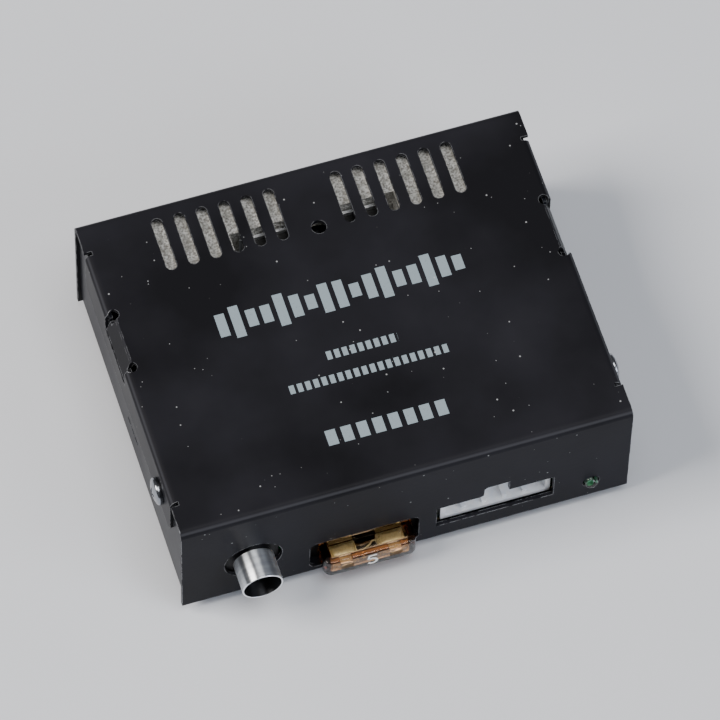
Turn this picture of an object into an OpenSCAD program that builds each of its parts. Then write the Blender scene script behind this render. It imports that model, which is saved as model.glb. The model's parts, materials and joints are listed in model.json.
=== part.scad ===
// Compact mono car amplifier: a bent steel case over a board, a heat sink and a row of
// connections along the front. X runs along the front, Y goes from front to back, Z is up.
// The origin is on the table, under the middle of the whole object.

/* [Case] */
// Width of the case across its front
case_w = 92; // [91:0.5:94]
// Depth of the case from front panel to back panel
case_d = 72.4; // [72:0.2:76]
// Height of the case's top above the table
case_top = 32; // [31.5:0.5:34]
// Thickness of the steel sheet
sheet = 0.8; // [0.6:0.1:0.9]
// Outside radius of the sheet's bends
bend_r = 1.6; // [1.2:0.1:2]
// Height of the rubber feet
foot_h = 2.7; // [2.5:0.1:3.5]

/* [Vents] */
// Vent slots on each side of the middle
vents_per_side = 6; // [3:1:6]
// Distance from slot to slot
vent_pitch = 4.6; // [4:0.1:4.6]
// Width of a vent slot
vent_w = 2.2; // [1.5:0.1:3]
// Length of a vent slot
vent_l = 12; // [8:0.5:12]
// Distance from the middle to the first slot
vent_first = 6.9; // [5:0.1:7]
// Distance from the back panel to the middle of the slots
vent_back = 9.3; // [9:0.1:10]
// How far the two groups of slots lie to the left of the middle
vent_left = 0.4; // [0:0.1:1]

/* [Jack] */
// Place of the phono jack along the front
jack_x = -31.4; // [-32:0.1:-30]
// Height of the phono jack's axis
jack_z = 14.2; // [14:0.1:16]
// Length of the jack's barrel in front of the panel
jack_out = 6.3; // [5:0.1:8]
// Outside radius of the jack's barrel
jack_r = 4.15; // [4.1:0.01:4.2]

/* [Fuse] */
// Place of the blade fuse along the front
fuse_x = -8.1; // [-9:0.1:-7]
// Height of the fuse's middle plane
fuse_z = 7.1; // [7:0.1:7.4]
// Length of fuse that stands in front of the panel
fuse_out = 3.3; // [2.5:0.1:4]

/* [Header] */
// Place of the power and speaker header along the front
header_x = 18.9; // [18:0.1:19]
// Number of ways in the header
ways = 5; // [3:1:5]
// Distance from way to way
way_pitch = 4.2; // [3.96:0.02:4.2]

/* [Lamp] */
// Place of the power lamp along the front
lamp_x = 38.3; // [37:0.1:39]
// Height of the lamp's axis
lamp_z = 8; // [7.4:0.1:8.2]
// Radius of the lamp's body
lamp_r = 1.6; // [1.4:0.1:1.6]

/* [Hidden] */
$fn = 48;

// Planes of the case
half_w = case_w / 2;
front_y = -(case_d - jack_out) / 2;   // outside face of the front panel
back_y = front_y + case_d;            // outside face of the back panel
mid_y = (front_y + back_y) / 2;
wall_x = half_w - sheet;              // outside face of the chassis walls
floor_z = foot_h + sheet;             // top of the chassis floor
wall_top = case_top - bend_r - 0.1;   // top edge of the chassis walls, just under the cover's bends
loose = 0.3;                          // gap between pieces that only pass each other

// Case details, measured from the middle of the case
flange_l = 57.4;
flange_drop = 12;
flange_corner = 2.5;
notch = 0.8;
tab_from = 2.3;
tab_to = 14.6;
tab_drop = 5;
tab_hole_r = 1.1;
screw_back = 22;
screw_z = case_top - 6.5;
screw_hole_r = 1.7;
thread_r = 1.28;
shank_r = 1.25;
slit_from = -3.9;
slit_to = 2.9;
slit_z = foot_h + 8.1;
slit_h = 0.8;
access_y = mid_y + 21.7;
access_r = 1.5;
foot_x = 37;
foot_y = 28;

// Board
pcb_z = floor_z + 1.1;
pcb_t = 1.6;
deck = pcb_z + pcb_t;                 // top of the board
pcb_x = 43;
pcb_front = front_y + 3;
pcb_back = back_y - 17.6;
tongue_x = 16.4;
tongue_back = back_y - 10.4;
lead_end = pcb_z - 0.7;               // cut end of a lead under the board
post_r = 2.8;
posts = [[-38.5, front_y + 20], [38.5, front_y + 20], [-38.5, front_y + 49], [38.5, front_y + 49]];

// Heat sink
sink_x = 39;
sink_front = back_y - 16.6;
sink_back = back_y - 2.2;
sink_top = case_top - 2.4;
recess_x = 17;
recess_y = mid_y + 26.5;
pillar_x = 2.7;
sink_screw_x = 30;
sink_screw_y = back_y - 9;

// Power transistors, standing against the recess of the heat sink
pad_t = 0.3;
pair_x = 9.4;
case_t = 4.4;
case_wd = 10.2;
case_h = 17;
tab_t = 0.6;                          // metal tab at the back of each transistor
tab_top = 0.9;
case_z = deck + 3.2;
pair_y = recess_y - pad_t;            // back faces of the transistors
bar_z = case_z + case_h + 0.2;
bar_t = 0.6;

// Jack
collar_r = 5.2;
jack_hole_r = 5.9;
jack_depth = 12;
shell_t = 0.35;
bore_r = jack_r - shell_t;            // bore of the barrel in front, and of the jack's housing
seat_r = bore_r - shell_t;            // bore of the barrel where it sits in the housing
jack_seat = sheet + 0.2;
jack_face = 3.4;                      // how far the insulator lies behind the barrel's rim
socket_depth = 7;
socket_r = 1.62;
socket_out_r = 2.05;

// Fuse: a standard blade fuse lying on its side
fuse_w = 19.1;
fuse_t = 5.1;
fuse_h = 12;
fuse_all = 18.8;
head_h = 5;
waist_w = 16.4;
waist_t = 4.1;
blade_w = 5.2;
blade_t = 0.65;
blade_x = 5;
fuse_front = front_y - fuse_out;
fuse_root = fuse_front + fuse_h;
fuse_tip = fuse_front + fuse_all;
holder_w = 22.6;
holder_front = front_y + 2.3;
holder_back = front_y + 17.4;
holder_low = floor_z + 0.5;
holder_top = fuse_z + 4;
leaf_t = 0.4;
contact_gap = 0.06;

// Header
header_w = ways * way_pitch + 1.7;
header_front = front_y + 1.6;
header_back = front_y + 14.2;
header_wall = 1;
header_top = case_top - 17.2;
latch_w = 5.4;
latch_top = case_top - 14.3;
pin_t = 1.1;
pin_z = deck + 4.2;

// Lamp: its lens comes through the panel and stands a little in front of it
lamp_base = front_y + 3.7;

// Wound parts and capacitors on the board: [x, distance behind the front panel, radius, height]
cans = [[-8, 31, 6.25, 20], [7, 31, 6.25, 20], [-23.5, 30, 4, 11.5], [-23.5, 41, 3.15, 11],
        [-31.5, 36, 3.15, 11], [-14, 43, 2.5, 11]];
sleeve_t = 0.25;
toroid = [26, 33];
toroid_r = 7;
toroid_w = 2.6;
toroid_h = 7;
turns = 18;
wire_r = 0.5;
choke = [10, 47];
choke_r = 3.6;
choke_h = 9;
films = [
  [-31, 25, 7.2, 2.8, 7.5],
  [31.4, 18.4, 7.2, 3.5, 8],
  [-4, 48.5, 7.2, 2.8, 7],
  [39.4, 35, 3.5, 7.2, 8],
];
ics = [[-31, 47.5], [-21, 50.5]];
beads = [[-21.5, 21.5], [-21.5, 24.5], [-12, 21.5], [1.5, 21.5], [11, 21.5], [21.5, 46.5], [21.5, 49.5]];
diode = [31, 48];

// ---- shapes that repeat ----

// A rectangle with round corners, centred
module round_rect(w, h, r) {
  square([w - 2 * r, h], center = true);
  square([w, h - 2 * r], center = true);
  for (sx = [-1, 1], sy = [-1, 1])
    translate([sx * (w / 2 - r), sy * (h / 2 - r)]) circle(r);
}

// A slot with round ends along Y, centred
module slot(w, l) {
  square([w, l - w], center = true);
  for (s = [-1, 1]) translate([0, s * (l - w) / 2]) circle(w / 2);
}

// A box from one corner to the opposite one
module block(from, to) {
  translate(from) cube(to - from);
}

// Extrudes an outline drawn in X and Z along Y
module along_y(from, to) {
  translate([0, to, 0]) rotate([90, 0, 0]) linear_extrude(to - from) children();
}

// Extrudes an outline drawn in Y and Z along X
module along_x(from, to) {
  translate([from, 0, 0]) rotate([90, 0, 90]) linear_extrude(to - from) children();
}

// Both sides of the case
module both_sides() {
  children();
  mirror([1, 0, 0]) children();
}

// Outline whose top right corner is bent: from (0, low) up to (out, top)
module bent_corner(out, low, top, r) {
  translate([out - 8, low]) square([8 - r, top - low]);
  translate([out - 8, low]) square([8, top - r - low]);
  translate([out - r, top - r]) circle(r);
}

// Sheet bent down along an edge: outside face at x, reaching down to low
module bent_edge(x, start, low) {
  intersection() {
    difference() {
      bent_corner(x, low - 1, case_top, bend_r);
      bent_corner(x - sheet, low - 2, case_top - sheet, bend_r - sheet);
    }
    translate([start, low]) square([x - start, case_top - low]);
  }
}

// Pan head screw on the Z axis: the head's underside is at 0, its shank points down
module pan_screw(head_r, head_h, shank, length) {
  difference() {
    rotate_extrude()
      union() {
        square([head_r, head_h * 0.55]);
        intersection() {
          translate([0, head_h - 2.2 * head_r]) circle(2.2 * head_r);
          square([head_r, head_h]);
        }
      }
    for (a = [0, 90])
      rotate(a) translate([-head_r * 0.58, -0.35, head_h - 0.95]) cube([head_r * 1.16, 0.7, 2]);
  }
  translate([0, 0, -length]) cylinder(r = shank, h = length + 0.1);
}

// Electrolytic capacitor places
module at_cans() {
  for (c = cans)
    translate([c[0], front_y + c[1], deck]) {
      $r = c[2];
      $h = c[3];
      children();
    }
}

// ---- case ----

module cover_outline(y0, y1, top, r) {
  translate([y0, foot_h - 1]) square([y1 - y0, top - r - foot_h + 1]);
  translate([y0 + r, foot_h - 1]) square([y1 - y0 - 2 * r, top - foot_h + 1]);
  for (y = [y0 + r, y1 - r]) translate([y, top - r]) circle(r);
}

// Front panel, top and back panel, bent from one sheet
module cover_sheet() {
  along_x(-half_w, half_w)
    intersection() {
      difference() {
        cover_outline(front_y, back_y, case_top, bend_r);
        cover_outline(front_y + sheet, back_y - sheet, case_top - sheet, bend_r - sheet);
      }
      translate([front_y, foot_h]) square([case_d, case_top - foot_h]);
    }
}

// Side flange with round lower corners and the window beside the tab
module side_flange() {
  intersection() {
    along_y(mid_y - flange_l / 2, mid_y + flange_l / 2)
      bent_edge(half_w, half_w - bend_r, case_top - flange_drop);
    along_x(half_w - bend_r, half_w)
      difference() {
        translate([mid_y, case_top - flange_drop + 10])
          round_rect(flange_l, 20, flange_corner);
        translate([mid_y + tab_from - 0.4, case_top - 6]) square([tab_to - tab_from + 0.8, 7]);
      }
  }
}

// Tab bent down into a notch in the chassis wall, leaning out until its tip is nearly flush
module side_tab() {
  root = wall_x - sheet - 3;
  knee = wall_x - sheet - 0.4;
  low = case_top - tab_drop;
  along_y(mid_y + tab_from, mid_y + tab_to)
    polygon([
      [root, case_top], [knee, case_top], [knee + 0.4, case_top - 0.3], [half_w - 0.1, low],
      [half_w - 0.1 - sheet, low], [knee - 0.3, case_top - sheet], [root, case_top - sheet]
    ]);
}

module fuse_window() {
  translate([fuse_x - 0.5, fuse_z + 1.5]) round_rect(22.4, 9.4, 1.6);
}

// Window for the header, with the notch that clears its latch
module header_window() {
  low = case_top - 25.1;
  high = case_top - 17.9;
  top = case_top - 14.6;
  translate([header_x - header_w / 2 - 1.3, low]) square([header_w + 1.5, high - low]);
  translate([header_x, 0])
    polygon([
      [-3.7, high - 1], [-3.7, high], [-3, high + 0.4], [-2.9, top - 0.6],
      [-2.4, top - 0.1], [2.2, top], [2.2, high - 1]
    ]);
}

module top_cover() {
  color("#232327")
    difference() {
      union() {
        difference() {
          cover_sheet();
          both_sides()
            block([half_w - bend_r, mid_y - flange_l / 2 - notch, case_top - 4],
                  [half_w + 1, mid_y + flange_l / 2 + notch, case_top + 1]);
          both_sides()
            block([wall_x - sheet - 1.5, mid_y + tab_from, case_top - 4],
                  [half_w + 1, mid_y + tab_to, case_top + 1]);
        }
        both_sides() side_flange();
        both_sides() side_tab();
      }
      // Vent slots and the hole over the clamp's screw
      translate([-vent_left, back_y - vent_back, case_top - 2])
        linear_extrude(4)
          for (s = [-1, 1], i = [0 : vents_per_side - 1])
            translate([s * (vent_first + i * vent_pitch), 0]) slot(vent_w, vent_l);
      translate([0, access_y, case_top - 2]) cylinder(r = access_r, h = 4);
      // Relief holes at the ends of the tabs
      both_sides()
        for (y = [tab_from, tab_to])
          translate([wall_x - sheet, mid_y + y, case_top - 2.4]) cylinder(r = tab_hole_r, h = 4);
      // Screw holes in the flanges
      both_sides()
        translate([half_w - 2, mid_y - screw_back, screw_z])
          rotate([0, 90, 0]) cylinder(r = screw_hole_r, h = 4);
      // Openings in the front panel
      translate([jack_x, front_y + 2, jack_z]) rotate([90, 0, 0]) cylinder(r = jack_hole_r, h = 4);
      translate([lamp_x, front_y + 2, lamp_z]) rotate([90, 0, 0]) cylinder(r = lamp_r + 0.15, h = 4);
      along_y(front_y - 2, front_y + 2) fuse_window();
      along_y(front_y - 2, front_y + 2) header_window();
    }
}

// Half of the channel's outline, drawn in X and Z and open at the top
module channel_outline(out, low, r) {
  translate([-out + r, low]) square([2 * (out - r), case_top]);
  translate([-out, low + r]) square([2 * out, case_top]);
  for (s = [-1, 1]) translate([s * (out - r), low + r]) circle(r);
}

module chassis() {
  color("#3a3e48")
    difference() {
      union() {
        along_y(front_y + sheet, back_y - sheet)
          intersection() {
            difference() {
              channel_outline(wall_x, foot_h, bend_r);
              channel_outline(wall_x - sheet, floor_z, bend_r - sheet);
            }
            translate([-wall_x, foot_h]) square([2 * wall_x, wall_top - foot_h]);
          }
        for (p = posts)
          translate([p[0], p[1], floor_z - 0.1]) cylinder(r = post_r, h = pcb_z - floor_z + 0.1);
      }
      for (p = posts) translate([p[0], p[1], 0]) cylinder(r = thread_r, h = pcb_z + 1);
      both_sides() {
        translate([wall_x - 2, mid_y - screw_back, screw_z]) rotate([0, 90, 0]) cylinder(r = thread_r, h = 4);
        block([wall_x - 2, mid_y + slit_from, slit_z], [wall_x + 1, mid_y + slit_to, slit_z + slit_h]);
        // Notch for the cover's tab
        block([wall_x - 2, mid_y + tab_from - loose, case_top - tab_drop - loose],
              [wall_x + 1, mid_y + tab_to + loose, case_top]);
        translate([sink_screw_x, sink_screw_y, 0]) cylinder(r = screw_hole_r, h = floor_z + 1);
      }
    }
}

module rubber_feet() {
  foot_r = 4.2;
  color("#18181a")
    for (sx = [-1, 1], sy = [-1, 1])
      translate([sx * foot_x, mid_y + sy * foot_y, 0])
        rotate_extrude() {
          square([foot_r - 0.8, foot_h]);
          translate([0, 0.8]) square([foot_r, foot_h - 0.8]);
          translate([foot_r - 0.8, 0.8]) circle(0.8);
        }
}

module side_screws() {
  color("#8d9096")
    both_sides()
      translate([half_w, mid_y - screw_back, screw_z])
        rotate([0, 90, 0]) pan_screw(2.8, 1.8, shank_r, 5);
}

// ---- board ----

module pcb() {
  color("#1f5a36")
    translate([0, 0, pcb_z])
      linear_extrude(pcb_t)
        difference() {
          union() {
            translate([-pcb_x, pcb_front]) square([2 * pcb_x, pcb_back - pcb_front]);
            translate([-tongue_x, pcb_back - 1]) square([2 * tongue_x, tongue_back - pcb_back + 1]);
          }
          for (p = posts) translate(p) circle(screw_hole_r);
          // Clearance round the fuse holder and the lamp
          translate([fuse_x - holder_w / 2 - loose, pcb_front - 1])
            square([holder_w + 2 * loose, holder_back + loose - pcb_front + 1]);
          translate([lamp_x - 2.3, pcb_front - 1]) square([4.6, 4.3]);
        }
}

module pcb_screws() {
  color("#9a9da3")
    for (p = posts) translate([p[0], p[1], deck]) pan_screw(2.6, 1.6, shank_r, deck - foot_h);
}

module insulating_sheet() {
  color("#d8c9a0")
    translate([0, 0, floor_z])
      linear_extrude(0.3)
        difference() {
          translate([-wall_x + 3.2, pcb_front]) square([2 * wall_x - 6.4, sink_front - 1 - pcb_front]);
          for (p = posts) translate(p) circle(post_r + loose);
        }
}

// ---- heat sink and output stage ----

module heat_sink() {
  pocket_x = [21.5, 35.5];
  color("#a9a9a4")
    difference() {
      union() {
        block([-sink_x, recess_y, floor_z], [sink_x, sink_back, sink_top]);
        both_sides() block([recess_x, sink_front, floor_z], [sink_x, recess_y + 0.1, sink_top]);
        block([-pillar_x, access_y - 2.7, deck + 0.4], [pillar_x, recess_y + 0.1, bar_z]);
      }
      // Cored pockets, open at the front of the two blocks
      both_sides()
        for (z = [deck + 4 : 5.2 : sink_top - 6])
          block([pocket_x[0], sink_front - 1, z], [pocket_x[1], sink_front + 6, z + 3]);
      both_sides() translate([sink_screw_x, sink_screw_y, 0]) cylinder(r = thread_r, h = floor_z + 8);
      translate([0, access_y, bar_z - 7]) cylinder(r = thread_r, h = 8);
    }
}

module heat_sink_screws() {
  color("#9a9da3")
    both_sides()
      translate([sink_screw_x, sink_screw_y, foot_h])
        mirror([0, 0, 1]) pan_screw(2.8, 1.6, shank_r, 7);
}

module thermal_pads() {
  color("#c9ccd2")
    both_sides()
      block([pair_x - case_wd / 2 - 0.5, recess_y - pad_t, case_z],
            [pair_x + case_wd / 2 + 0.5, recess_y, case_z + case_h]);
}

module power_transistors() {
  color("#1b1b1d")
    both_sides()
      block([pair_x - case_wd / 2, pair_y - case_t, case_z],
            [pair_x + case_wd / 2, pair_y - tab_t, case_z + case_h]);
}

module transistor_tabs() {
  color("#b9bcc0")
    both_sides()
      block([pair_x - case_wd / 2, pair_y - tab_t, case_z + 1],
            [pair_x + case_wd / 2, pair_y, case_z + case_h + tab_top]);
}

module transistor_leads() {
  lead_y = pair_y - 2;
  color("#c8cacd")
    both_sides()
      for (i = [-1, 0, 1])
        translate([pair_x + i * 2.54, lead_y, 0])
          block([-0.4, -0.3, lead_end], [0.4, 0.3, case_z]);
}

// Spring bar screwed on the pillar, with a wing that presses on the front of each transistor
module clamp_bar() {
  front = access_y - pillar_x - bar_t;
  grip = pair_y - case_t - bar_t;
  low = case_z + 5;
  high = case_z + 10;
  color("#b9bcc0")
    difference() {
      union() {
        block([-pillar_x, front, bar_z], [pillar_x, access_y + pillar_x, bar_z + bar_t]);
        block([-pillar_x, front, low], [pillar_x, front + bar_t, bar_z + 0.1]);
        block([-pillar_x - 1.3, front, low], [pillar_x + 1.3, front + bar_t, high]);
        both_sides() {
          block([pillar_x + 0.7, front, low], [pillar_x + 1.3, grip + bar_t, high]);
          block([pillar_x + 0.7, grip, low], [pair_x + 4, grip + bar_t, high]);
        }
      }
      translate([0, access_y, bar_z - 1]) cylinder(r = screw_hole_r, h = 3);
    }
}

module clamp_screw() {
  color("#9a9da3")
    translate([0, access_y, bar_z + bar_t]) pan_screw(2.5, 1.7, shank_r, 6.5);
}

// ---- phono jack ----

// Places children on the jack's axis, with their Z pointing out of the front panel
module on_jack(depth) {
  translate([jack_x, front_y + depth, jack_z]) rotate([90, 0, 0]) children();
}

module jack_housing() {
  back = jack_seat + jack_depth;
  color("#19191b")
    difference() {
      union() {
        block([jack_x - 5.4, front_y + jack_seat, deck], [jack_x + 5.4, front_y + back, jack_z + 5.2]);
        on_jack(2) cylinder(r = collar_r, h = 1);
      }
      on_jack(back - 2) cylinder(r = bore_r, h = back);
    }
}

// Drawn barrel with a rounded rim, one step narrower where it sits in the housing
module jack_shell() {
  seat = 5;
  rim = shell_t / 2;
  color("#c9d0d6")
    on_jack(seat)
      rotate_extrude() {
        translate([seat_r, 0]) square([shell_t, seat + shell_t]);
        translate([seat_r, seat]) square([jack_r - seat_r, shell_t]);
        translate([bore_r, seat]) square([shell_t, jack_out - rim]);
        translate([jack_r - rim, seat + jack_out - rim]) circle(rim);
      }
}

module jack_insulator() {
  color("#2a2a2e")
    on_jack(socket_depth)
      difference() {
        union() {
          cylinder(r = seat_r, h = socket_depth + jack_out - jack_face);
          translate([0, 0, socket_depth + shell_t]) cylinder(r = bore_r, h = jack_out - jack_face - shell_t);
        }
        translate([0, 0, -1]) cylinder(r = socket_out_r, h = socket_depth + jack_out);
      }
}

module jack_contact() {
  rim_gap = 0.4;
  color("#c9b27a")
    on_jack(socket_depth)
      difference() {
        cylinder(r = socket_out_r, h = socket_depth + jack_out - jack_face - rim_gap);
        translate([0, 0, 1]) cylinder(r = socket_r, h = socket_depth + jack_out);
      }
}

module jack_terminals() {
  back = front_y + jack_seat + jack_depth;
  color("#c8cacd")
    for (x = [-2.5, 2.5])
      translate([jack_x + x, back, 0]) {
        block([-0.6, 0, deck + 2], [0.6, 1.4, deck + 2.4]);
        block([-0.6, 1, lead_end], [0.6, 1.4, deck + 2.2]);
      }
}

// ---- fuse ----

module fuse_body() {
  cavity_t = 2.6;
  cavity_w = blade_x * 2 + blade_w + 0.8;
  color("#a8703a", 0.7)
    difference() {
      union() {
        along_y(fuse_front, fuse_front + head_h)
          translate([fuse_x, fuse_z]) round_rect(fuse_w, fuse_t, 1);
        along_y(fuse_front + head_h - 0.1, fuse_root)
          translate([fuse_x, fuse_z]) round_rect(waist_w, waist_t, 0.6);
      }
      block([fuse_x - cavity_w / 2, fuse_front + 1, fuse_z - cavity_t / 2],
            [fuse_x + cavity_w / 2, fuse_root - 1, fuse_z + cavity_t / 2]);
      for (s = [-1, 1])
        translate([fuse_x + s * blade_x, 0, fuse_z])
          block([-blade_w / 2 - 0.05, fuse_root - 2, -blade_t / 2 - 0.05],
                [blade_w / 2 + 0.05, fuse_root + 1, blade_t / 2 + 0.05]);
    }
}

// Two blades joined by the thin link that melts
module fuse_element() {
  link_y = fuse_front + 6;
  reach = blade_x - blade_w / 2;
  color("#c9b36a")
    union() {
      for (s = [-1, 1])
        translate([fuse_x + s * blade_x, 0, fuse_z]) {
          difference() {
            block([-blade_w / 2, fuse_front + 1.1, -blade_t / 2], [blade_w / 2, fuse_tip, blade_t / 2]);
            for (e = [-1, 1])
              translate([e * blade_w / 2, fuse_tip, 0]) rotate(45) cube([1.4, 1.4, 3], center = true);
          }
          block([-blade_w / 2, fuse_front + 1.1, -1.15], [blade_w / 2, fuse_front + 4.4, 1.15]);
        }
      translate([fuse_x, link_y, fuse_z]) {
        block([-reach - 0.1, -1.6, -0.2], [-0.2, -0.6, 0.2]);
        block([-0.6, -1.6, -0.2], [0.6, 1.6, 0.2]);
        block([0.2, 0.6, -0.2], [reach + 0.1, 1.6, 0.2]);
      }
    }
}

// Half height of the slot that holds one pair of spring leaves
leaf_out = blade_t / 2 + contact_gap + leaf_t;

module fuse_holder() {
  color("#1d1d20")
    difference() {
      block([fuse_x - holder_w / 2, holder_front, holder_low],
            [fuse_x + holder_w / 2, holder_back, holder_top]);
      // Mouth that takes the fuse's waist
      block([fuse_x - waist_w / 2 - loose, holder_front - 1, fuse_z - waist_t / 2 - loose],
            [fuse_x + waist_w / 2 + loose, fuse_root + loose, fuse_z + waist_t / 2 + loose]);
      // Finger room over the fuse
      block([fuse_x - 7, holder_front - 1, fuse_z + 1], [fuse_x + 7, holder_front + 3, holder_top + 1]);
      for (s = [-1, 1])
        block([fuse_x + s * blade_x - blade_w / 2 - loose, fuse_root - 1, fuse_z - leaf_out],
              [fuse_x + s * blade_x + blade_w / 2 + loose, holder_back + 1, fuse_z + leaf_out]);
    }
}

// Pairs of leaves that grip each blade, with a foot soldered to the board
module fuse_contacts() {
  root = fuse_tip + loose;
  color("#c9b36a")
    for (s = [-1, 1])
      translate([fuse_x + s * blade_x, 0, 0]) {
        for (e = [-1, 1])
          translate([0, 0, fuse_z + e * (leaf_out - leaf_t / 2)])
            block([-blade_w / 2, fuse_root + 0.9, -leaf_t / 2], [blade_w / 2, root, leaf_t / 2]);
        block([-blade_w / 2, root - 0.1, fuse_z - leaf_out], [blade_w / 2, root + leaf_t, fuse_z + leaf_out]);
        block([-1.2, root, fuse_z - leaf_t / 2], [1.2, holder_back + 2, fuse_z + leaf_t / 2]);
        block([-1.2, holder_back + 1.6, lead_end], [1.2, holder_back + 2, fuse_z + leaf_t / 2]);
      }
}

// ---- header ----

module header_housing() {
  inner = header_w - 2 * header_wall;
  floor_in = deck + header_wall;
  color("#e6e9ee")
    difference() {
      union() {
        block([header_x - header_w / 2, header_front, deck],
              [header_x + header_w / 2, header_back, header_top]);
        block([header_x - latch_w / 2, header_front, header_top - 0.1],
              [header_x + latch_w / 2, header_front + 9, latch_top]);
      }
      difference() {
        block([header_x - inner / 2, header_front - 1, floor_in],
              [header_x + inner / 2, header_back - 3, header_top - header_wall]);
        // Low ribs between the ways
        for (i = [1 : ways - 1])
          block([header_x + (i - ways / 2) * way_pitch - 0.45, header_front + 0.6, floor_in - 1],
                [header_x + (i - ways / 2) * way_pitch + 0.45, header_back, floor_in + 0.8]);
      }
      // Channel for the plug's latch
      block([header_x - latch_w / 2 + 0.8, header_front - 1, header_top - 2],
            [header_x + latch_w / 2 - 0.8, header_front + 8, latch_top - 0.9]);
      // Holes for the pins
      for (i = [0 : ways - 1])
        translate([header_x + (i - (ways - 1) / 2) * way_pitch, 0, pin_z])
          block([-pin_t / 2, header_back - 4, -pin_t / 2], [pin_t / 2, header_back + 1, pin_t / 2]);
    }
}

module header_pins() {
  color("#cfd2d6")
    for (i = [0 : ways - 1])
      translate([header_x + (i - (ways - 1) / 2) * way_pitch, 0, 0]) {
        block([-pin_t / 2, header_front + 4.6, pin_z - pin_t / 2],
              [pin_t / 2, header_back + 2, pin_z + pin_t / 2]);
        block([-pin_t / 2, header_back + 0.9, lead_end], [pin_t / 2, header_back + 2, pin_z]);
      }
}

// ---- lamp ----

module lamp_lens() {
  body = 4.4;
  color("#7fb8a4", 0.6)
    translate([lamp_x, lamp_base, lamp_z])
      rotate([90, 0, 0])
        rotate_extrude() {
          square([lamp_r + 0.35, 0.9]);
          square([lamp_r, body - lamp_r + 0.6]);
          intersection() {
            translate([0, body - lamp_r + 0.6]) circle(lamp_r);
            square([lamp_r, body + 2]);
          }
        }
}

module lamp_leads() {
  color("#c8cacd")
    for (x = [-1.27, 1.27])
      translate([lamp_x + x, lamp_base, 0]) {
        block([-0.25, 0, lamp_z - 0.25], [0.25, 4, lamp_z + 0.25]);
        block([-0.25, 3.5, lead_end], [0.25, 4, lamp_z]);
      }
}

// ---- parts on the board ----

// Aluminium can with a rounded top and a rolled groove near the bottom
module capacitor_cans() {
  color("#b7bbc1")
    at_cans()
      difference() {
        rotate_extrude()
          difference() {
            union() {
              translate([0, 0.6]) square([$r - sleeve_t - 0.5, $h - 0.6]);
              translate([0, 0.6]) square([$r - sleeve_t, $h - 1.1]);
              translate([$r - sleeve_t - 0.5, $h - 0.5]) circle(0.5);
            }
            translate([$r - sleeve_t + 0.45, 2.2]) circle(0.75);
            square([$r - sleeve_t - 0.5, 1.9]);
          }
        for (a = [0, 60, 120])
          rotate(a) translate([-$r * 0.7, -0.12, $h - 0.25]) cube([$r * 1.4, 0.24, 1]);
      }
}

module capacitor_sleeves() {
  color("#20242c")
    at_cans()
      difference() {
        translate([0, 0, 0.6]) cylinder(r = $r, h = $h - 1.3);
        translate([0, 0, 0]) cylinder(r = $r - sleeve_t, h = $h + 1);
      }
}

module capacitor_bungs() {
  color("#141416")
    at_cans()
      difference() {
        cylinder(r = $r - sleeve_t - 0.55, h = 1.9);
        for (s = [-1, 1]) translate([s * $r * 0.4, 0, -1]) cylinder(r = 0.3, h = 4);
      }
}

module capacitor_leads() {
  color("#c8cacd")
    at_cans()
      for (s = [-1, 1])
        translate([s * $r * 0.4, 0, lead_end - deck]) cylinder(r = 0.3, h = deck - lead_end + 1.8);
}

// Places children at the middle of the toroid's ring
module at_toroid() {
  translate([toroid[0], front_y + toroid[1], deck + toroid_h / 2 + 2 * wire_r + 0.2]) children();
}

module toroid_core() {
  color("#c9b84a")
    at_toroid()
      rotate_extrude() translate([toroid_r, 0]) round_rect(2 * toroid_w, toroid_h, 0.8);
}

// One turn of wire: a rounded loop round the ring's section
module wire_turn() {
  gap = 0.08;
  half_l = toroid_w + gap + wire_r;
  half_h = toroid_h / 2 + gap + wire_r;
  for (s = [-1, 1]) {
    translate([0, 0, s * half_h]) rotate([0, 90, 0]) cylinder(r = wire_r, h = 2 * half_l, center = true);
    translate([s * half_l, 0, 0]) cylinder(r = wire_r, h = 2 * half_h, center = true);
    for (e = [-1, 1]) translate([s * half_l, 0, e * half_h]) sphere(wire_r);
  }
}

module toroid_winding() {
  color("#b06a32")
    at_toroid()
      for (i = [0 : turns - 1]) rotate(i * 320 / (turns - 1)) translate([toroid_r, 0, 0]) wire_turn();
}

module choke_core() {
  color("#3c3c40")
    translate([choke[0], front_y + choke[1], deck])
      rotate_extrude() {
        square([choke_r, 1]);
        square([choke_r - 1.6, choke_h]);
        translate([0, choke_h - 1]) square([choke_r, 1]);
      }
}

module choke_winding() {
  bead = 0.55;
  rows = floor((choke_h - 2.2) / (2 * bead));
  color("#b06a32")
    translate([choke[0], front_y + choke[1], deck + 1.1])
      rotate_extrude() {
        translate([choke_r - 1.55, 0]) square([0.6, rows * 2 * bead]);
        for (i = [0 : rows - 1]) translate([choke_r - 1, (2 * i + 1) * bead]) circle(bead);
      }
}

module film_capacitors() {
  color("#8a2f26")
    for (f = films)
      translate([f[0], front_y + f[1], deck + 0.4])
        linear_extrude(f[4]) round_rect(f[2], f[3], 0.6);
}

// Eight pin packages
module driver_ics() {
  color("#1b1b1d")
    for (p = ics)
      translate([p[0], front_y + p[1], deck + 0.5])
        difference() {
          translate([-3.2, -4.6, 0]) cube([6.4, 9.2, 3.3]);
          translate([0, -4.6, 2.9]) cylinder(r = 0.8, h = 1);
        }
}

module driver_ic_pins() {
  color("#c8cacd")
    for (p = ics, s = [-1, 1], i = [0 : 3])
      translate([p[0] + s * 3.6, front_y + p[1] + (i - 1.5) * 2.54, 0]) {
        block([-0.35, -0.5, deck + 1.6], [0.35, 0.5, deck + 2]);
        block([-0.15, -0.25, lead_end], [0.15, 0.25, deck + 1.7]);
      }
}

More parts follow.
